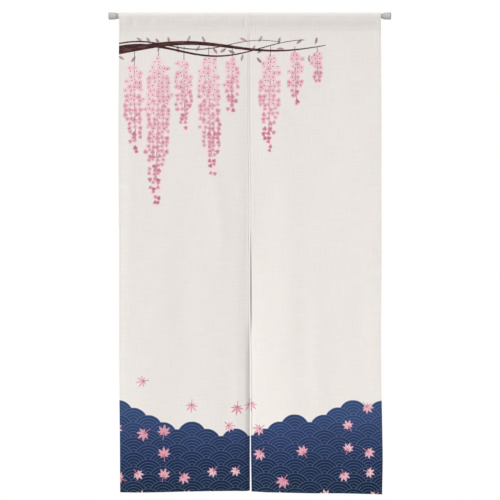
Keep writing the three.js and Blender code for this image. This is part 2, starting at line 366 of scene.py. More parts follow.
def pocketPush(side, section, across, v):
    # the pocket's front stands out under the rod and sags in above its stitch line, a sine of the share of
    # the way between them, with small crumples
    sag = smoothRead(side["pocketSag"]["across"], side["pocketSag"]["inwards"], across)
    part = section["part"][:, None]
    wall = np.clip((section["frontStitch"] - np.abs(v)) / (section["frontStitch"] - cloth["wallTop"]), 0, 1)
    push = -sag * np.sin(2 * np.pi * wall) * (part == 1)
    onFront = (part <= 1) * smoothStep(*cloth["crumplesFrom"], v)
    for place, level, halfAcross, halfDown, height in zip(*side["crumples"].values()):
        push = push + height * bell(across - place, halfAcross) * bell(v - level, halfDown) * onFront
    return push


def pucker(line, along, away):
    # sine along a line of stitches, drifting by a slower sine, times a falling exponential beside the line
    settings = cloth["puckers"][line]
    wave = along / settings["wave"] + settings["drift"] * np.sin(along / settings["driftWave"])
    return settings["height"] * np.sin(wave) * np.exp(-away / settings["reach"])


def stitchPush(side, section, across, v):
    # grooves along the pocket's and the foot's stitch lines and a step at the side hems', with puckers
    hems, inside = side["hems"], across < side["width"] / 2
    edge = np.minimum(across, side["width"] - across)
    stitches, seamEnd, starts = section["frontStitch"], cloth["seamEnd"], cloth["hemStarts"]
    toPocket = np.minimum(np.abs(v - stitches), np.abs(v + section["backStitch"]))
    toSide = np.abs(edge - cloth["sideHem"])
    toFoot = np.abs(section["foot"] - v - cloth["footHem"])
    groove = cloth["pocketGroove"] * bell(toPocket, cloth["pocketGrooveWidth"])
    groove = groove + cloth["footGroove"] * bell(toFoot, cloth["footGrooveWidth"])
    begun = smoothStep(stitches, stitches + starts, v)
    sewn = begun * (1 - smoothStep(seamEnd - starts, seamEnd + starts, v))
    groove = groove + cloth["seamDip"] * bell(across, cloth["seamDipWidth"]) * sewn
    opened = smoothStep(seamEnd, seamEnd + cloth["hemOpens"], v)
    innerStep = hems["sewnStep"] + (hems["openStep"] - hems["sewnStep"]) * opened
    lift = np.where(inside, hems["innerLift"], hems["outerLift"]) * (1 - edge / cloth["sideHem"])
    strip = 1 - smoothStep(-cloth["hemStepWidth"] / 2, cloth["hemStepWidth"] / 2, edge - cloth["sideHem"])
    setBack = strip * (np.where(inside, innerStep, hems["outerStep"]) - lift) * begun
    pocketPucker = np.sign(v) * pucker("pocket", across, toPocket)  # both layers go the same way
    sidePucker = pucker("side", v, toSide) * (1 - bell(toPocket, cloth["puckerClear"]))
    return pocketPucker + sidePucker + pucker("foot", across, toFoot) - groove - setBack


def panelSurface(side):
    # every point is its section point moved to its side edges' x, its fold depth, its hem's roll and rise,
    # then pushed along the surface's normal by ridges, crumples, puckers and stitch grooves
    section = panelSection(side)
    hemDown = side["drop"] - cloth["topZ"]
    width, hem = side["width"], cloth["sideHem"]
    fine, finest = cloth["fineStep"], cloth["fineStep"] / 3
    stops = [0, hem - fine, hem + fine, cloth["fineInner"], width - hem - fine, width - hem + fine, width]
    steps = [fine, finest, 1.5 * fine, cloth["gridStep"], finest, fine]
    across = spaced(stops, steps)[::side["sign"]]
    shape = (len(section["z"]), len(across))
    down = np.broadcast_to(-section["z"][:, None], shape)
    v = np.broadcast_to(section["v"][:, None], shape)
    flatAcross = np.broadcast_to(across, shape)
    inner = smoothRead(side["edges"]["down"], side["edges"]["inner"], down)
    outer = smoothRead(side["edges"]["down"], side["edges"]["outer"], down)
    x = inner + (outer - inner) * flatAcross / width
    reach = np.abs(x - inner)
    folds, roll = side["folds"], side["roll"]
    rows = ("sewn", "upper", "lower", "hem")
    depths = [np.zeros(shape)] + [smoothRead(folds["across"], folds[row], reach) for row in rows]
    levels = [cloth["pocketDrop"] - cloth["topZ"], cloth["seamEnd"], cloth["upperFolds"],
              cloth["lowerFolds"], hemDown]
    hanging = (section["part"] == 0)[:, None]
    loose = hanging | (section["part"] == 4)[:, None]  # the turning goes along with the cloth before it
    nearEdge = np.clip(1 - reach / roll["width"], 0, 1) ** cloth["rollCurve"]
    rolled = smoothRead(roll["down"], roll["back"], down) * nearEdge
    below = np.maximum(down - levels[0], 0)
    swung = smoothRead(folds["across"], folds["swing"], reach) * (1 - np.exp(-below / cloth["settle"]))
    back = np.where(loose, smoothRead(levels, depths, down) + rolled + swung, 0)
    rise = smoothRead(folds["across"], folds["rise"], reach) * smoothStep(cloth["seamEnd"], hemDown, down)
    middle = np.stack([x, section["y"][:, None] + back, section["z"][:, None] + rise], axis=-1)
    push = np.where(hanging, ridgePush(side["ridges"], flatAcross, down), 0)
    push = push + pocketPush(side, section, flatAcross, v) + stitchPush(side, section, flatAcross, v)
    middle = middle + surfaceNormal(middle) * push[..., None]
    normal = surfaceNormal(middle)
    edge = np.minimum(flatAcross, width - flatAcross)
    foot = section["foot"] - v
    sideSlope, footSlope = cloth["sideHemSlope"], cloth["footHemSlope"]
    hemmed = np.maximum(1 - smoothStep(hem - sideSlope, hem + sideSlope, edge),
                        1 - smoothStep(cloth["footHem"] - footSlope, cloth["footHem"] + footSlope, foot))
    joined = (flatAcross < width / 2) & (v < cloth["seamEnd"])
    toRim = np.minimum(np.where(joined, width, edge), foot)
    thin, half = cloth["edgeThickness"], cloth["thickness"] / 2
    rounded = thin + (1 - thin) * smoothStep(0, cloth["edgeRounding"], toRim)
    front = middle + normal * (half * rounded)[..., None]
    rear = middle - normal * ((half + cloth["hemBack"] * hemmed * hanging) * rounded)[..., None]
    return {"front": front, "rear": rear, "normal": normal, "across": across, "width": width,
            "sign": side["sign"], **section}


def setFlat(mesh, flat):
    # each point's place on the flat cloth, as a UV map in metres
    corner = np.empty(len(mesh.loops), np.int32)
    mesh.loops.foreach_get("vertex_index", corner)
    layer = mesh.uv_layers.new(name="flatCloth")
    layer.data.foreach_set("uv", (flat[corner] * mm).astype(np.float32).ravel())


def addPanel(name, surface, material):
    # front and rear grids joined by a rim of quads all round, so the sheet is one closed skin
    rows, columns = surface["front"].shape[:2]
    count = rows * columns
    points = np.concatenate([surface["front"].reshape(-1, 3), surface["rear"].reshape(-1, 3)])
    front = gridQuads(rows, columns)
    rear = gridQuads(rows, columns, count)[:, ::-1]
    index = np.arange(count).reshape(rows, columns)
    loop = np.concatenate([index[0, :-1], index[:-1, -1], index[-1, :0:-1], index[:0:-1, 0]])
    after = np.roll(loop, -1)
    rim = np.stack([loop, loop + count, after + count, after], axis=1)
    panel = addPiece(name, points, [front, rear, rim], material)
    mesh = panel.data
    mesh.set_sharp_from_angle(angle=np.radians(cloth["sharpAngle"]))
    flatX = np.broadcast_to(surface["sign"] * surface["across"][None, :], (rows, columns)).ravel()
    flatY = np.broadcast_to(surface["v"][:, None], (rows, columns)).ravel()
    setFlat(mesh, np.tile(np.stack([flatX, flatY], axis=1), (2, 1)))
    reverse = mesh.attributes.new("reverse", "FLOAT", "POINT")
    reverse.data.foreach_set("value", np.repeat([0.0, 1.0], count).astype(np.float32))
    return panel


# printed design, in mm on the flat cloth: x from the slit to the right, y down from the pocket's top

farOff = 100.0  # more than any motif reaches
waveInk = {
    "radius": 46.0,       # of one wave scale; rows lie half a radius apart
    "rowLag": 0.02,       # share of a row by which the next one starts late, so that no gap shows
    "ringStep": 9.2,
    "lineWidth": 2.0,
    "lineStrength": 0.25,
    "shade": 0.88,        # of the darkest scale
    "shadeSpread": 0.2,
    "shore": 1252.0,      # mean level of the wave field's upper edge
    "foot": 1500.0,       # level at which the navy is deepest
    "swing": 46.0,        # how far the upper edge rises and falls
    "swingLength": 900.0,
    "swingPlace": -60.0,  # where it lies lowest
}
mapleInk = {
    "pitch": 72.0, "scatter": 0.45,
    "size": 23.0, "sizeSpread": 8.0,
    "lobeAngle": 40.0,    # degrees from lobe to lobe
    "lobeCut": 0.56,      # share of the leaf that the notches between its lobes cut away
    "lobePower": 0.8,
    "stalkLength": 0.7,   # share of the leaf's size
    "stalkWidth": 1.1,    # half widths of the stalk and the veins
    "veinWidth": 0.75,
    "firstY": 1120.0, "fullY": 1440.0,  # leaves grow more frequent between these levels
    "mostShown": 0.78,
}
floretInk = {
    "pitch": 14.5, "scatter": 0.6,
    "size": 8.8, "sizeSpread": 1.8,
    "tipShrink": 0.3,     # share by which florets at the tip are smaller
    "lobeDepth": 0.36,
    "rimWidth": 1.1, "rimStrength": 0.5,
    "heart": 2.0,         # radius of the dark middle
    "bare": 6.0,          # margin inside a raceme's outline without florets
    "stray": 11.0,        # width of the strip along that margin where chance decides
    "ripeTone": 0.7, "chanceTone": 0.45,  # how far ripeness and chance deepen the pink
    "wash": 2.0, "washStrength": 0.45,    # pale wash round the florets
}
leafletInk = {
    "pitch": 29.0, "scatter": 0.45, "length": 11.5, "width": 4.6, "ribWidth": 0.6,
    "fromVine": 36.0, "shown": 0.5,
}
racemes = {
    "x": [-362, -286, -206, -128, -54, 66, 142, 212],
    "top": [164, 142, 152, 138, 144, 132, 128, 124],
    "length": [310, 490, 250, 400, 200, 320, 190, 120],
    "halfWidth": [42, 52, 38, 48, 34, 44, 35, 27],
    "sway": [10, -12, 8, 14, -6, -10, 8, 6],
}
racemeForm = {
    "shoulder": 0.35, "taper": 0.7,  # powers of the shares of the length passed and left
    "fullness": 1.7,
    "stemShare": 0.8,                # share of the length to which the stem shows
    "stemWidth": 1.0,
}
vines = {
    "level": [112, 118, 106],
    "slope": [-0.02, -0.03, -0.01],
    "swing": [15, 21, 13],
    "swingLength": [97, 83, 61],
    "phase": [0.6, 2.7, 4.2],
    "startWidth": [9.0, 4.6, 2.4],   # half widths at the left edge
    "endWidth": [1.1, 0.8, 0.7],     # and where the vine ends
    "endX": [238, 172, 96],
}
barkStreak = (40, 4)  # length and width of the streaks on a vine


def waveScale(add, x, y, rowsAhead):
    # the round scale whose centre lies in the given row below a point: the point's distance from that
    # centre, whether the scale covers it, and its centre; only scales that start under the edge are there
    radius, rowStep = waveInk["radius"], waveInk["radius"] / 2
    turn = 2 * np.pi / waveInk["swingLength"]
    rows = add("Math.MULTIPLY_ADD", y, 1 / rowStep, -waveInk["rowLag"])
    row = add("Math.ADD", add("Math.CEIL", rows), rowsAhead)
    centreY = add("Math.MULTIPLY", row, rowStep)
    shift = add("Math.MULTIPLY", add("Math.MODULO", row, 2.0), radius)
    shifted = add("Math.ADD", x, shift)
    column = add("Math.ROUND", add("Math.DIVIDE", shifted, 2 * radius))
    centreX = add("Math.SUBTRACT", add("Math.MULTIPLY", column, 2 * radius), shift)
    centre = add("CombineXYZ", centreX, centreY)
    away = add("VectorMath.DISTANCE", add("CombineXYZ", x, y), centre).outputs["Value"]
    along = add("Math.MULTIPLY_ADD", centreX, turn, -turn * waveInk["swingPlace"])
    edge = add("Math.MULTIPLY_ADD", add("Math.COSINE", along), waveInk["swing"], waveInk["shore"])
    starts = add("Math.GREATER_THAN", add("Math.SUBTRACT", centreY, radius), edge)
    covers = add("Math.MULTIPLY", add("Math.LESS_THAN", away, radius), starts)
    return away, covers, centre


def wavesPrint(add, x, y):
    # overlapping wave scales with rings, the lower row in front, navy that deepens towards the foot
    farAway, farCovers, farCentre = waveScale(add, x, y, 0.0)
    nearAway, nearCovers, nearCentre = waveScale(add, x, y, 1.0)
    away = add("Mix", nearCovers, named={2: farAway, 3: nearAway})
    centre = add("Mix", nearCovers, named={4: farCentre, 5: nearCentre}, data_type="VECTOR").outputs[1]
    chance = add("TexWhiteNoise", centre, noise_dimensions="2D")
    mask = add("Math.MAXIMUM", farCovers, nearCovers)
    inward = add("Math.SUBTRACT", waveInk["radius"], away)
    ring = add("Math.FRACT", add("Math.DIVIDE", inward, waveInk["ringStep"]))
    line = add("Math.LESS_THAN", ring, waveInk["lineWidth"] / waveInk["ringStep"])
    deep = add("MapRange", y, waveInk["shore"] - waveInk["swing"], waveInk["foot"])
    navies = [(0, "#35507A"), (0.35, "#2A3F6C"), (0.7, "#172D55"), (1, "#0B2542")]
    navy = add("ValToRGB", deep, stops=navies)
    shade = add("Math.MULTIPLY_ADD", chance, waveInk["shadeSpread"], waveInk["shade"])
    toned = add("VectorMath.SCALE", navy, named={"Scale": shade})
    strength = add("Math.MULTIPLY", line, waveInk["lineStrength"])
    ink = add("Mix", strength, named={6: toned, 7: toLinear("#8D9DBD")}, data_type="RGBA").outputs[2]
    return mask, ink


def scatterCells(add, place, motif):
    # one motif in each cell of an uneven grid: the point seen from its cell's centre and turned by chance
    cells = add("TexVoronoi", place, voronoi_dimensions="2D",
                named={"Scale": 1 / motif["pitch"], "Randomness": motif["scatter"]})
    chance = add("SeparateColor", cells.outputs["Color"]).outputs
    centre = add("SeparateXYZ", cells.outputs["Position"]).outputs
    local = add("VectorMath.SUBTRACT", place, cells.outputs["Position"])
    spin = add("Math.MULTIPLY", chance[0], 2 * np.pi)
    turned = add("VectorRotate", local, named={"Angle": spin}, rotation_type="Z_AXIS")
    return add("SeparateXYZ", turned).outputs, centre, chance


def polar(add, local):
    # angle from the motif's own upright, and distance from its centre
    angle = add("Math.ARCTAN2", local[0], local[1])
    reach = add("VectorMath.LENGTH", add("CombineXYZ", local[0], local[1]))
    return angle, reach.outputs["Value"]


def maplePrint(add, place):
    # leaf edge: the cosine of half the angle, cut in between the lobes by a power of the angle off the
    # nearest lobe's rib; a thin stalk runs the other way
    local, centre, chance = scatterCells(add, place, mapleInk)
    angle, reach = polar(add, local)
    halfLobe = np.radians(mapleInk["lobeAngle"] / 2)
    offRib = add("Math.PINGPONG", angle, halfLobe)
    cut = add("Math.POWER", add("Math.DIVIDE", offRib, halfLobe), mapleInk["lobePower"])
    lobe = add("Math.MULTIPLY_ADD", cut, -mapleInk["lobeCut"], 1.0)
    heart = add("Math.COSINE", add("Math.MULTIPLY", angle, 0.5))
    size = add("Math.MULTIPLY_ADD", chance[1], mapleInk["sizeSpread"], mapleInk["size"])
    outline = add("Math.MULTIPLY", add("Math.MULTIPLY", lobe, heart), size)
    blade = add("Math.GREATER_THAN", outline, reach)
    aside = add("Math.ABSOLUTE", local[0])
    under = add("Math.LESS_THAN", local[1], 0.0)
    short = add("Math.LESS_THAN", reach, add("Math.MULTIPLY", size, mapleInk["stalkLength"]))
    stalk = add("Math.MULTIPLY", add("Math.LESS_THAN", aside, mapleInk["stalkWidth"]), under)
    stalk = add("Math.MULTIPLY", stalk, short)
    likely = add("MapRange", centre[1], mapleInk["firstY"], mapleInk["fullY"], 0.0, mapleInk["mostShown"])
    shown = add("Math.LESS_THAN", chance[2], likely)
    mask = add("Math.MULTIPLY", add("Math.MAXIMUM", blade, stalk), shown)
    fromRib = add("Math.MULTIPLY", add("Math.SINE", offRib), reach)
    vein = add("Math.MAXIMUM", add("Math.LESS_THAN", fromRib, mapleInk["veinWidth"]), stalk)
    pinks = add("ValToRGB", chance[1], stops=[(0, "#F5D9DF"), (0.5, "#EBBBC6"), (1, "#DE9FB0")])
    ink = add("Mix", vein, named={6: pinks, 7: toLinear("#C57E93")}, data_type="RGBA").outputs[2]
    return mask, ink


def racemeFields(add, x, y):
    # how deep a point is in its raceme, the share of that one's length, and how far the nearest stem is;
    # a raceme's half width is a product of powers of the shares of its length passed and left
    room, ripe, stem = -farOff, 0.0, farOff
    for lineX, top, length, halfWidth, sway in zip(*racemes.values()):
        share = add("MapRange", y, top, top + length)
        left = add("Math.SUBTRACT", 1.0, share)
        grow = add("Math.MULTIPLY", add("Math.POWER", share, racemeForm["shoulder"]),
                   add("Math.POWER", left, racemeForm["taper"]))
        spread = add("Math.MULTIPLY_ADD", grow, racemeForm["fullness"] * halfWidth, -floretInk["bare"])
        drift = add("Math.MULTIPLY_ADD", add("Math.MULTIPLY", share, share), sway, lineX)
        side = add("Math.ABSOLUTE", add("Math.SUBTRACT", x, drift))
        inside = add("Math.SUBTRACT", spread, side)
        deeper = add("Math.GREATER_THAN", inside, room)
        room = add("Math.MAXIMUM", inside, room)
        ripe = add("Mix", deeper, named={2: ripe, 3: share})
        beyond = add("Math.GREATER_THAN", y, top + racemeForm["stemShare"] * length)
        stem = add("Math.MINIMUM", add("Math.MULTIPLY_ADD", beyond, farOff, side), stem)
    return room, ripe, stem


def floretPrint(add, place):
    # three-lobed florets packed into hanging racemes, paler at the top and small and deep at the tip
    local, centre, chance = scatterCells(add, place, floretInk)
    room, ripe, _ = racemeFields(add, centre[0], centre[1])
    stray = add("Math.MULTIPLY_ADD", chance[2], floretInk["stray"], -floretInk["stray"] / 2)
    shown = add("Math.GREATER_THAN", add("Math.ADD", room, stray), 0.0)
    angle, reach = polar(add, local)
    lobe = add("Math.ABSOLUTE", add("Math.COSINE", add("Math.MULTIPLY", angle, 1.5)))
    outline = add("Math.MULTIPLY_ADD", lobe, floretInk["lobeDepth"], 1 - floretInk["lobeDepth"])
    full = add("Math.MULTIPLY_ADD", chance[1], floretInk["sizeSpread"], floretInk["size"])
    size = add("Math.MULTIPLY", add("Math.MULTIPLY_ADD", ripe, -floretInk["tipShrink"], 1.0), full)
    edge = add("Math.SUBTRACT", add("Math.MULTIPLY", outline, size), reach)
    mask = add("Math.MULTIPLY", add("Math.GREATER_THAN", edge, 0.0), shown)
    depth = add("Math.ADD", add("Math.MULTIPLY", ripe, floretInk["ripeTone"]),
                add("Math.MULTIPLY", chance[1], floretInk["chanceTone"]))
    pinks = [(0, "#F8E4E8"), (0.4, "#F1CAD3"), (0.75, "#E3A9B8"), (1, "#CB8296")]
    petal = add("ValToRGB", depth, stops=pinks)
    rim = add("Math.MULTIPLY", add("Math.LESS_THAN", edge, floretInk["rimWidth"]), floretInk["rimStrength"])
    rimmed = add("Mix", rim, named={6: petal, 7: toLinear("#C98D9D")}, data_type="RGBA").outputs[2]
    heart = add("Math.LESS_THAN", reach, floretInk["heart"])
    ink = add("Mix", heart, named={6: rimmed, 7: toLinear("#B0647A")}, data_type="RGBA").outputs[2]
    return mask, ink


def vineFields(add, x, y):
    # how deep a point lies inside any vine, a sine about a sloping level, and how far it is from the first
    inside, offFirst = -farOff, None
    for level, slope, swing, swingLength, phase, startWidth, endWidth, endX in zip(*vines.values()):
        wave = add("Math.SINE", add("Math.MULTIPLY_ADD", x, 1 / swingLength, phase))
        line = add("Math.MULTIPLY_ADD", wave, swing, add("Math.MULTIPLY_ADD", x, slope, level))
        off = add("Math.ABSOLUTE", add("Math.SUBTRACT", y, line))
        offFirst = offFirst or off
        halfWidth = add("MapRange", x, -leftSide["width"], endX, startWidth, endWidth)
        past = add("Math.MULTIPLY", add("Math.GREATER_THAN", x, endX), farOff)
        room = add("Math.SUBTRACT", add("Math.SUBTRACT", halfWidth, off), past)
        inside = add("Math.MAXIMUM", room, inside)
    return inside, offFirst


def stemPrint(add, y, stem):
    # the racemes' thin stems, from the vines' level down
    below = add("Math.GREATER_THAN", y, vines["level"][0])
    mask = add("Math.MULTIPLY", add("Math.LESS_THAN", stem, racemeForm["stemWidth"]), below)
    return mask, toLinear("#8E6C6E")


def vinePrint(add, place, x, y):
    # dark twisting vines, streaked along their length
    inside, _ = vineFields(add, x, y)
    mask = add("Math.GREATER_THAN", inside, 0.0)
    streaks = add("VectorMath.MULTIPLY", place, (1 / barkStreak[0], 1 / barkStreak[1], 0))
    bark = add("TexNoise", streaks, named={"Scale": 1.0, "Detail": 2.0}, noise_dimensions="2D")
    ink = add("ValToRGB", bark, stops=[(0.35, "#3A2020"), (0.55, "#4E2D2C"), (0.7, "#6F4A48")])
    return mask, ink


def leafletPrint(add, place):
    # pointed leaflets near the vines: half width falls off as the square of the share of the length
    local, centre, chance = scatterCells(add, place, leafletInk)
    _, offVine = vineFields(add, centre[0], centre[1])
    near = add("Math.LESS_THAN", offVine, leafletInk["fromVine"])
    before = add("Math.LESS_THAN", centre[0], float(vines["endX"][0]))
    lucky = add("Math.LESS_THAN", chance[2], leafletInk["shown"])
    shown = add("Math.MULTIPLY", add("Math.MULTIPLY", near, before), lucky)
    along = add("Math.DIVIDE", local[1], leafletInk["length"])
    square, width = add("Math.MULTIPLY", along, along), leafletInk["width"]
    taper = add("Math.MULTIPLY_ADD", square, -width, width)
    side = add("Math.ABSOLUTE", local[0])
    mask = add("Math.MULTIPLY", add("Math.GREATER_THAN", taper, side), shown)
    rib = add("Math.LESS_THAN", side, leafletInk["ribWidth"])
    leaf = add("ValToRGB", chance[1], stops=[(0, "#D2BCC1"), (1, "#AE8D95")])
    ink = add("Mix", rib, named={6: leaf, 7: toLinear("#7E5A60")}, data_type="RGBA").outputs[2]
    return mask, ink


# materials

weave = {
    "slubWidth": 2.0,      # thick threads are 0.5 mm in the real cloth, drawn wider so that they show
    "slubLength": 60.0,
    "thread": 1.2,         # plain threads are 0.35 mm, drawn wider for the same reason
    "threadHeight": 0.12,  # against the slubs' height of 1
    "plyTurn": 0.9,        # sewing thread's plies turn every 0.5 mm, drawn coarser as well
    "dyeCreep": 0.7,       # how far the dye's edge steps from thread to thread
    "creepScale": 0.7,     # steps to a millimetre
    "dyeThrough": 0.55,    # strength of the colour on the wrong side
}


def dyed(add, ground, inMm):
    # the printed layers over an undyed colour, the dye's edge stepping from thread to thread and its
    # colour weaker on the wrong side
    creep = add("TexNoise", inMm, noise_dimensions="2D", named={"Scale": weave["creepScale"], "Detail": 0})
    reach = np.array([weave["dyeCreep"], weave["dyeCreep"], 0])
    step = add("VectorMath.MULTIPLY_ADD", creep.outputs["Color"], 2 * reach, -reach)
    place = add("VectorMath.ADD", inMm, step)
    x, y = add("SeparateXYZ", place).outputs[:2]
    wrong = add("Attribute", attribute_name="reverse").outputs["Fac"]
    strength = add("Math.MULTIPLY_ADD", wrong, weave["dyeThrough"] - 1, 1.0)
    room, _, stem = racemeFields(add, x, y)
    near = add("Math.GREATER_THAN", room, -floretInk["wash"])
    washed = add("Math.MULTIPLY", near, floretInk["washStrength"])
    layers = [
        (washed, toLinear("#F6DDE2")), leafletPrint(add, place), stemPrint(add, y, stem),
        floretPrint(add, place), vinePrint(add, place, x, y), wavesPrint(add, x, y), maplePrint(add, place),
    ]
    colour = ground
    for mask, ink in layers:
        shown = add("Math.MULTIPLY", mask, strength)
        colour = add("Mix", shown, named={6: colour, 7: ink}, data_type="RGBA").outputs[2]
    return colour


def clothMaterial():
    # printed plain-woven polyester with linen slubs: matt, faintly streaked along both threads, and thin
    # enough to let some light through, so that doubled cloth looks darker
    material, add, shader = newMaterial("printed slub plain weave", **{
        "Roughness": 0.92, "Specular IOR Level": 0.18, "Sheen Weight": 0.08, "Sheen Roughness": 0.5,
        "Subsurface Weight": 0.4, "Subsurface Radius": (0.8, 0.95, 1), "Subsurface Scale": 0.9 * mm})
    inMm = add("VectorMath.SCALE", add("UVMap", uv_map="flatCloth"), named={"Scale": 1 / mm})
    alongSlub, acrossSlub = 1 / weave["slubLength"], 1 / weave["slubWidth"]
    slubs = []
    for stretch in ((alongSlub, acrossSlub, 0), (acrossSlub, alongSlub, 0)):
        stretched = add("VectorMath.MULTIPLY", inMm, stretch)
        slubs.append(add("TexNoise", stretched, named={"Scale": 1.0, "Detail": 2.0}, noise_dimensions="2D"))
    slub = add("Math.MULTIPLY", add("Math.ADD", *slubs), 0.5)
    ground = add("ValToRGB", slub, stops=[(0.3, "#E7E2DE"), (0.5, "#EBE6E2"), (0.7, "#EEEAE7")])
    threads = add("VectorMath.SCALE", inMm, named={"Scale": np.pi / weave["thread"]})
    warp, weft = add("SeparateXYZ", add("VectorMath.SINE", threads)).outputs[:2]
    over = add("Math.MULTIPLY_ADD", add("Math.MULTIPLY", warp, weft), weave["threadHeight"], slub)
    bump = add("Bump", named={"Strength": 0.25, "Distance": 0.6 * mm, "Height": over})
    setSockets(shader, {"Base Color": dyed(add, ground, inMm), "Normal": bump})
    print("cloth material:", len(material.node_tree.nodes), "nodes")
    return material


def threadMaterial():
    # spun polyester sewing thread, printed with the cloth: two plies twisted, smoother than the weave
    material, add, shader = newMaterial("spun polyester thread", **{
        "Roughness": 0.7, "Specular IOR Level": 0.3})
    inMm = add("VectorMath.SCALE", add("UVMap", uv_map="flatCloth"), named={"Scale": 1 / mm})
    bandStep = 0.314  # of a wave texture of scale 1
    twist = add("TexWave", inMm, named={"Scale": bandStep / weave["plyTurn"], "Distortion": 1.0},
                bands_direction="DIAGONAL")
    ground = add("ValToRGB", twist.outputs["Fac"], stops=[(0, "#DDD5CF"), (1, "#F0EAE5")])
    setSockets(shader, {"Base Color": dyed(add, ground, inMm)})
    return material


def rodMaterial():
    # stoved enamel on drawn steel tube: satin light grey with a faint orange peel and rubbed rings
    material, add, shader = newMaterial("stoved grey enamel", **{"IOR": 1.5})
    place = add("TexCoord").outputs["Object"]
    peel = add("TexNoise", place, named={"Scale": 1 / (1.6 * mm), "Detail": 2.0})  # peel of 1.6 mm
    stretched = add("VectorMath.MULTIPLY", place, (1 / (2.5 * mm), 8.0, 8.0))  # rub marks 2.5 mm apart
    rings = add("TexNoise", stretched, named={"Scale": 1.0, "Detail": 3.0})
    colour = add("ValToRGB", rings, stops=[(0.3, "#B4B0AC"), (0.55, "#BFBCB8"), (0.75, "#C6C3BF")])
    rough = add("MapRange", rings, 0.3, 0.7, 0.34, 0.48)
    bump = add("Bump", named={"Strength": 0.15, "Distance": 0.2 * mm, "Height": peel})
    setSockets(shader, {"Base Color": colour, "Roughness": rough, "Normal": bump})
    return material


def capMaterial():
    # moulded soft vinyl: matt light grey, fine-grained, with painted shade over the rounded edge where the
    # barrel turns into the face
    material, add, shader = newMaterial("moulded soft vinyl", **{
        "Roughness": 0.62, "Specular IOR Level": 0.35})
    place = add("TexCoord").outputs["Object"]
    mottle = add("TexNoise", place, named={"Scale": 1 / (7 * mm), "Detail": 3.0})  # clouds of 7 mm
    grain = add("TexNoise", place, named={"Scale": 1 / (0.8 * mm), "Detail": 1.0})  # 0.3 mm, drawn coarser
    out = add("Math.ABSOLUTE", add("SeparateXYZ", place).outputs[0])
    # painted shade: 0 on the barrel, rising to 1 over the rounded edge to the face
    rim = add("MapRange", out, cadBox[1][0] - 4.5 * mm, cadBox[1][0] - 1.5 * mm)  # barrel to face
    colour = add("ValToRGB", mottle, stops=[(0.3, "#C3BFBB"), (0.7, "#CDC9C5")])
    # there the light grey is darkened towards a darker grey, as painted shade of the edge turning away
    paintedEdgeShade = add("Mix", add("Math.MULTIPLY", rim, 0.8), data_type="RGBA",
                 named={6: colour, 7: toLinear("#A09C9A")})
    bump = add("Bump", named={"Strength": 0.2, "Distance": 0.2 * mm, "Height": grain})
    setSockets(shader, {"Base Color": paintedEdgeShade.outputs[2], "Normal": bump})
    return material


# sewing

sewing = {
    "pitch": 3.4,
    "length": 2.9,
    "threadRadius": 0.32,
    "heights": [-0.4, 0.12, 0.24, 0.12, -0.4],   # of a stitch's five rings over the cloth
    "thickness": [0.6, 0.95, 1.0, 0.95, 0.6],    # share of the thread's radius at each ring
    "sides": 5,
    "sideLine": 0.9,       # how far outside the side hems' turned edge their stitches lie
    "footLine": 1.8,       # and the foot hem's below its own
    "ends": 1.0,           # bare cloth at the ends of a line
    "belowTurning": 2.0,   # and below the pocket's turning
    "seamPitch": 4.2,      # of the stitches that cross from panel to panel
    "seamReach": 2.6,      # how far each goes in from the panel's edge
    "seamSlant": 1.4,
}


def surfaceAt(surface, face, across, v):
    # point and outward normal of a panel's face, each a mean of the four nearest grid points by nearness
    order = np.argsort(surface["across"])
    column = np.interp(across, surface["across"][order], order)
    row = np.interp(-v, -surface["v"], np.arange(len(surface["v"])))
    c = np.clip(column.astype(int), 0, len(surface["across"]) - 2)
    r = np.clip(row.astype(int), 0, len(surface["v"]) - 2)
    s, t = (column - c)[..., None], (row - r)[..., None]

    def mean(grid):
        return ((grid[r, c] * (1 - s) + grid[r, c + 1] * s) * (1 - t)
                + (grid[r + 1, c] * (1 - s) + grid[r + 1, c + 1] * s) * t)

    return mean(surface[face]), mean(surface["normal"]) * (1 if face == "front" else -1)


def stitchLine(surface, face, start, end):
    # stitches from one flat place to another, each a row of ring centres over the cloth and their normals
    start, end = np.array(start, float), np.array(end, float)
    length = np.linalg.norm(end - start)
    middle = np.arange(sewing["pitch"], length - sewing["pitch"] / 2, sewing["pitch"])
    heights = np.array(sewing["heights"])
    along = middle[:, None] + np.linspace(-0.5, 0.5, len(heights))[None, :] * sewing["length"]
    flat = start + along[..., None] * (end - start) / length
    points, normals = surfaceAt(surface, face, flat[..., 0], flat[..., 1])
    points = points + normals * heights[None, :, None]
    return points, normals, flat * np.array([surface["sign"], face == "front"])  # the back's stay undyed


def panelStitches(surface):
    # pocket line, both side hems and the foot hem, as they show on the front and on the back
    width, ends, lowest = surface["width"], sewing["ends"], surface["foot"] - sewing["ends"]
    pocket, pocketBack = surface["frontStitch"], -surface["backStitch"]
    underTurning = pocket + cloth["pocketTurning"] + sewing["belowTurning"]
    inset = cloth["sideHem"] - sewing["sideLine"]
    footLine = surface["foot"] - cloth["footHem"] + sewing["footLine"]
    lines = [("front", (ends, level), (width - ends, level)) for level in (pocket, pocketBack)]
    for edge in (inset, width - inset):
        lines.append(("front", (edge, pocketBack), (edge, lowest)))
        lines.append(("rear", (edge, underTurning), (edge, lowest)))
    for face in ("front", "rear"):
        lines.append((face, (ends, footLine), (width - ends, footLine)))
    return [stitchLine(surface, *line) for line in lines]


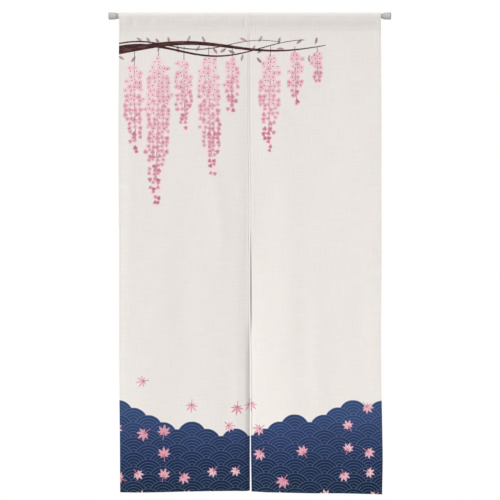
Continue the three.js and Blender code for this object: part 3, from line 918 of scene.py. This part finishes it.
def seamStitches(left, right):
    # whip stitches at the back that cross from panel to panel along the sewn stretch, slanting a little
    hanging = left["part"] == 0
    lowest = np.interp(cloth["seamEnd"], -left["z"][hanging][::-1], left["v"][hanging][::-1])
    v = np.arange(left["frontStitch"] + 2 * cloth["pocketTurning"], lowest, sewing["seamPitch"])[:, None]
    reach = sewing["seamReach"] * np.array([1.0, 0.5])
    slant = sewing["seamSlant"] * np.array([-1.0, -0.5])
    reaches = np.broadcast_to(reach, (len(v), 2))
    rings = zip(surfaceAt(left, "rear", reaches, v + slant),
                surfaceAt(right, "rear", reaches[:, ::-1], v - slant[::-1]))
    points, normals = (np.concatenate([a, (a[:, 1:] + b[:, :1]) / 2, b], axis=1) for a, b in rings)
    points = points + normals * np.array(sewing["heights"])[None, :, None]
    flatX = np.array([-reach[0], -reach[1], 0, reach[1], reach[0]])
    return points, normals, np.stack([flatX + 0 * v, 0 * (flatX + v)], axis=-1)  # undyed as well


def addStitching(name, rows, material):
    # each stitch is a thread's round carried along its five ring centres and closed at both ends
    centres, up, flat = (np.concatenate(values) for values in zip(*rows))
    along = np.gradient(centres, axis=1)
    aside = np.cross(along, up)
    aside = aside / np.linalg.norm(aside, axis=-1, keepdims=True)
    up = np.cross(aside, along)
    up = up / np.linalg.norm(up, axis=-1, keepdims=True)
    sides = sewing["sides"]
    turn = np.arange(sides) * 2 * np.pi / sides
    radius = sewing["threadRadius"] * np.array(sewing["thickness"])[None, :, None, None]
    ring = aside[:, :, None] * np.cos(turn)[:, None] + up[:, :, None] * np.sin(turn)[:, None]
    points = centres[:, :, None] + radius * ring
    index = np.arange(points[..., 0].size).reshape(points.shape[:3])
    after = np.roll(index, -1, axis=2)
    walls = np.stack([index[:, :-1], index[:, 1:], after[:, 1:], after[:, :-1]], axis=-1).reshape(-1, 4)
    stitching = addPiece(name, points.reshape(-1, 3), [walls, index[:, 0], index[:, -1, ::-1]], material)
    setFlat(stitching.data, np.repeat(flat.reshape(-1, 2), sides, axis=0))
    return stitching


# rod and end caps

rod = {
    "sides": 72,
    "sharpAngle": 35,      # degrees, shaded as an edge above this
    "wall": 0.6,
    "lip": 0.5,            # rounding of a tube's cut end
    "mouthBead": 0.7,      # thickened edge round a cap's open end
    "mouthRounding": 1.6,
    "mouthInset": 2.1,     # centre of that rounding inside the cap's largest radius
    # the barrel's widening: distance from the mouth and how far inside the largest radius
    "barrel": [(4.2, 0.9), (9, 0.45)],
    "shoulder": (3, 0.1),  # the same for its outer end, as a distance from the rounded edge
    "edgeRadius": 3.0,
    "faceDish": 0.35,      # the cap's face stands hollow inside its rim
    "dishSlope": 1.2,
    "rimWidth": 2.2,
    "capFloor": 6.0,
    "core": 2.0,           # radius of the flat discs that close the profile
    "socketGap": 0.2,
}


def arc(centreX, centreRadius, size, fromAngle, toAngle, count=8):
    # rows of x and radius round a quarter or so of a circle; angle 0 points outwards, 90 degrees along +x
    angle = np.radians(np.linspace(fromAngle, toAngle, count))
    return np.stack([centreX + size * np.sin(angle), centreRadius + size * np.cos(angle)], axis=1)


def addTurned(name, node, profile, closed, material):
    # a profile of x and radius turned about the rod's axis; an open profile is closed by a disc at each end
    sides = rod["sides"]
    turn = np.arange(sides) * 2 * np.pi / sides
    x, radius = profile[:, :1], profile[:, 1:]
    points = np.stack([x + 0 * turn, radius * np.cos(turn), radius * np.sin(turn)], axis=-1)
    index = np.arange(points[..., 0].size).reshape(points.shape[:2])
    ahead = np.roll(index, -1, axis=0)
    first, second = (index, ahead) if closed else (index[:-1], ahead[:-1])
    corners = [first, np.roll(first, -1, axis=1), np.roll(second, -1, axis=1), second]
    walls = np.stack(corners, axis=-1).reshape(-1, 4)
    ends = [] if closed else [index[:1], index[-1:, ::-1]]
    piece = addPiece(name, points.reshape(-1, 3), [walls, *ends], material)
    body = bmesh.new()
    body.from_mesh(piece.data)
    bmesh.ops.recalc_face_normals(body, faces=body.faces)
    body.to_mesh(piece.data)
    body.free()
    piece.data.set_sharp_from_angle(angle=np.radians(rod["sharpAngle"]))
    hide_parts(node)


def tubeProfile(node):
    # a thin wall between two rounded lips
    low, high = np.array(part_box(node)) / mm
    radius = high[2]
    lip, wall = rod["lip"], rod["wall"]
    return np.concatenate([
        arc(low[0] + lip, radius - lip, lip, -90, 0), arc(high[0] - lip, radius - lip, lip, 0, 90),
        [[high[0], radius - wall], [low[0], radius - wall]]])


def capProfile(node, tubeRadius):
    # from the socket's floor out through its mouth, over the bead and the barrel to the dished face
    low, high = np.array(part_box(node)) / mm
    outward = np.sign(high[0] + low[0])
    length, face, largest = high[0] - low[0], max(abs(low[0]), abs(high[0])), high[2]
    mouth, socket, edge = face - length, tubeRadius + rod["socketGap"], rod["edgeRadius"]
    floor, dish, core = face - rod["capFloor"], face - rod["faceDish"], rod["core"]
    rim = largest - edge - rod["rimWidth"]
    half = np.concatenate([
        [[floor, core], [floor, socket], [mouth + rod["mouthBead"], socket]],
        arc(mouth + rod["mouthRounding"], largest - rod["mouthInset"], rod["mouthRounding"], -90, 20),
        [[mouth + along, largest - inside] for along, inside in rod["barrel"]],
        [[face - edge - rod["shoulder"][0], largest - rod["shoulder"][1]]],
        arc(face - edge, largest - edge, edge, 0, 90),
        [[face, rim], [dish, rim - rod["dishSlope"]], [dish, core]]])
    return half * np.array([outward, 1.0])


printedCloth, thread, enamel, vinyl = clothMaterial(), threadMaterial(), rodMaterial(), capMaterial()
tubeRadii = {}
for node in ("rod_outer_tube", "rod_inner_tube"):
    tubeRadii[node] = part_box(node)[1][2] / mm
    addTurned(node.replace("rod_", "steel_"), node, tubeProfile(node), True, enamel)
for node, tube in (("left_cap", "rod_outer_tube"), ("right_cap", "rod_inner_tube")):
    addTurned(node.replace("cap", "end_cap"), node, capProfile(node, tubeRadii[tube]), False, vinyl)
print("rod and caps turned")

surfaces = {"left": panelSurface(leftSide), "right": panelSurface(rightSide)}
stitches = {side: panelStitches(surface) for side, surface in surfaces.items()}
stitches["left"].append(seamStitches(surfaces["left"], surfaces["right"]))
for side, surface in surfaces.items():
    panel = addPanel("noren_" + side, surface, printedCloth)
    stitching = addStitching(side + "_stitching", stitches[side], thread)
    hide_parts(side + "_panel")
    print(side, "panel:", len(panel.data.polygons), "faces,", len(stitching.data.polygons), "in its seams")

# stage, light and camera

stage = {
    "floorZ": -2050,
    "floorRadius": 2300,
    "floorSides": 96,
    "cameraDistance": 4600,
    "imageWidth": 1564,    # of the curtain's plane that the picture takes in
    "centreX": 0.8,
    "centreZ": -732,
    "roomLight": 0.506,    # even light from all round
    "roomSlope": (0, 0.10, 0.30),  # how it grows towards the back wall and overhead
    # soft lights, in metres and watts
    "key": {"place": (-16.4, -10.2, 4.0), "aim": (0, 0, -0.7), "size": 6.5, "power": 2750},
    "fill": {"place": (9.0, -12.0, 0.6), "aim": (0, 0, -0.7), "size": 6.5, "power": 300},
}


def addFloor():
    # a flat round floor: points on a circle round the curtain's middle
    turn = np.linspace(0, 2 * np.pi, stage["floorSides"] + 1)[:-1]
    rim = np.stack([np.cos(turn), np.sin(turn), 0 * turn], axis=1) * stage["floorRadius"]
    rim[:, 2] = stage["floorZ"]
    mesh = bpy.data.meshes.new("floor")
    mesh.from_pydata((rim * mm).tolist(), [], [list(range(len(turn)))])
    paint = {"Base Color": toLinear("#D6D4D1"), "Roughness": 0.9}
    mesh.materials.append(newMaterial("matt pale floor", **paint)[0])
    floor = bpy.data.objects.new("floor", mesh)
    bpy.context.scene.collection.objects.link(floor)


def addLight(name):
    # a round soft light at its place, turned to its aim
    settings = stage[name]
    light = bpy.data.lights.new(name, "AREA")
    light.shape = "DISK"
    light.size = settings["size"]
    light.energy = settings["power"]
    lamp = bpy.data.objects.new(name, light)
    lamp.location = settings["place"]
    ray = Vector(settings["aim"]) - Vector(settings["place"])
    lamp.rotation_euler = ray.to_track_quat("-Z", "Y").to_euler()
    bpy.context.scene.collection.objects.link(lamp)


addFloor()
addLight("key")
addLight("fill")

world = bpy.data.worlds.new("white studio")
world.use_nodes = True
world.node_tree.nodes.clear()
add = partial(addNode, world.node_tree)
sight = add("LightPath")
seen = add("Background", (1, 1, 1, 1), 1.0)  # plain white behind the curtain
direction = add("TexCoord").outputs["Generated"]
slope = add("VectorMath.DOT_PRODUCT", direction, stage["roomSlope"]).outputs["Value"]
shed = add("Background", (1, 1, 1, 1), add("Math.ADD", slope, stage["roomLight"]))
add("OutputWorld", add("MixShader", sight.outputs["Is Camera Ray"], shed, seen))
bpy.context.scene.world = world

camera = bpy.data.cameras.new("camera")
camera.lens = camera.sensor_width * stage["cameraDistance"] / stage["imageWidth"]
camera.clip_end = 50  # metres
cameraObject = bpy.data.objects.new("camera", camera)
cameraObject.location = (stage["centreX"] * mm, -stage["cameraDistance"] * mm, stage["centreZ"] * mm)
cameraObject.rotation_euler = (np.pi / 2, 0, 0)
bpy.context.scene.collection.objects.link(cameraObject)
bpy.context.scene.camera = cameraObject
bpy.context.scene.view_settings.view_transform = "Standard"
print("stage, light and camera set")
